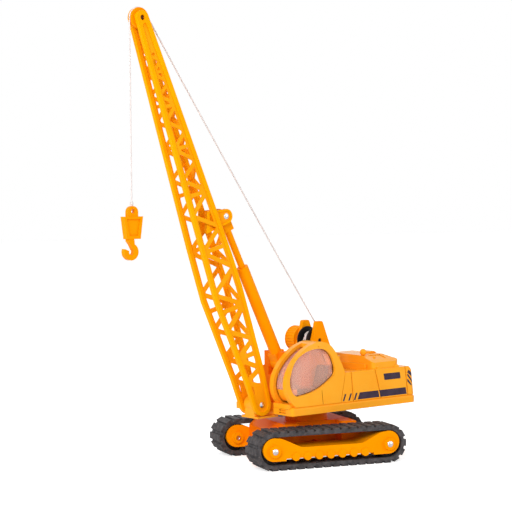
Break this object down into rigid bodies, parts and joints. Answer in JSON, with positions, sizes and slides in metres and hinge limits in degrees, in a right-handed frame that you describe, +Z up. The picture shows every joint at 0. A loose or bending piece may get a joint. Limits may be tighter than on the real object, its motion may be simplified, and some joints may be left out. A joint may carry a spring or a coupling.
{
  "type": "toy crawler crane",
  "caption": "Toy crawler crane: rubber tracks on an orange undercarriage, slewing body with a domed cab, thumb-wheel winch, telescopic strut and a luffing lattice boom with a string and hook.",
  "frame": {"origin": "on the slew axis at floor level, midway between the tracks", "axes": "+X forwards along the tracks, +Y to the machine's left, +Z up; the superstructure stands turned 17.5 degrees to the left"},
  "size_m": [0.2141, 0.0935, 0.2854],
  "materials": {
    "body_paint": "glossy yellow-orange paint",
    "orange_plastic": "glossy moulded orange plastic",
    "belt_rubber": "dark grey moulded rubber",
    "black_plastic": "black moulded plastic",
    "rivet_chrome": "bright plated steel",
    "clear_plastic": "clear plastic with a faint pink tint",
    "interior_plastic": "dark grey moulded plastic",
    "string": "white twisted cotton string"
  },
  "bodies": {
    "undercarriage": {"carbody": "orange_plastic", "track_frame_left": "orange_plastic", "track_belt_left": "belt_rubber", "track_wheel_front_left": "black_plastic", "axle_rivet_front_left": "rivet_chrome", "track_wheel_rear_left": "black_plastic", "axle_rivet_rear_left": "rivet_chrome", "track_frame_right": "orange_plastic", "track_belt_right": "belt_rubber", "track_wheel_front_right": "black_plastic", "axle_rivet_front_right": "rivet_chrome", "track_wheel_rear_right": "black_plastic", "axle_rivet_rear_right": "rivet_chrome"},
    "superstructure": {"chassis": "body_paint", "slew_screw": "rivet_chrome", "strut_pedestal": "orange_plastic", "cab_shell": "body_paint", "cab_glazing": "clear_plastic", "cab_seat": "interior_plastic", "cab_console": "interior_plastic", "engine_housing": "body_paint", "right_side_box": "body_paint", "engine_hood": "body_paint", "hood_spine": "body_paint", "hood_knob": "orange_plastic", "winch_frame": "orange_plastic", "strut_foot_pin": "rivet_chrome", "hood_scoop": "orange_plastic"},
    "winch_drum": {"winch_spool": "black_plastic", "wound_string": "string", "winch_axle": "black_plastic", "winch_knob": "orange_plastic"},
    "boom": {"boom_half_left": "orange_plastic", "boom_half_right": "orange_plastic", "boom_foot_pin": "rivet_chrome", "boom_strut_pin": "rivet_chrome", "boom_tip_pin": "orange_plastic", "hoist_string": "string"},
    "tip_sheave": {"tip_sheave": "orange_plastic"},
    "strut_barrel": {"strut_barrel": "orange_plastic"},
    "strut_rod": {"strut_rod": "orange_plastic"},
    "hook": {"hook_string": "string", "hook": "orange_plastic"}
  },
  "joints": [
    {"name": "slew", "type": "hinge", "parent": "undercarriage", "child": "superstructure", "pos_m": [0, 0, 0.0329], "axis": [0, 0, 1], "continuous": true},
    {"name": "luff", "type": "hinge", "parent": "superstructure", "child": "boom", "pos_m": [0.04087, 0.01289, 0.03887], "axis": [0.3007, -0.9537, 0], "range_deg": [-35, 6]},
    {"name": "strut_tilt", "type": "hinge", "parent": "superstructure", "child": "strut_barrel", "pos_m": [0.02098, 0.00662, 0.064], "axis": [0.3007, -0.9537, 0], "range_deg": [-37, 6.5]},
    {"name": "strut_slide", "type": "slide", "parent": "strut_barrel", "child": "strut_rod", "axis": [0.4161, 0.1312, 0.8998], "range_m": [-0.0036, 0.0196]},
    {"name": "winch_turn", "type": "hinge", "parent": "superstructure", "child": "winch_drum", "pos_m": [-0.00515, -0.00162, 0.0768], "axis": [0.3007, -0.9537, 0], "continuous": true},
    {"name": "sheave_turn", "type": "hinge", "parent": "boom", "child": "tip_sheave", "pos_m": [0.12405, 0.03911, 0.27902], "axis": [0.3007, -0.9537, 0], "continuous": true},
    {"name": "hook_swing", "type": "hinge", "parent": "boom", "child": "hook", "pos_m": [0.13006, 0.04101, 0.27902], "axis": [0.3007, -0.9537, 0], "range_deg": [-10, 45]}
  ],
  "couplings": [
    {"joint": "strut_tilt", "follows": "luff", "ratio": 1.0455},
    {"joint": "strut_slide", "follows": "luff", "m_per_rad": -0.0316}
  ]
}
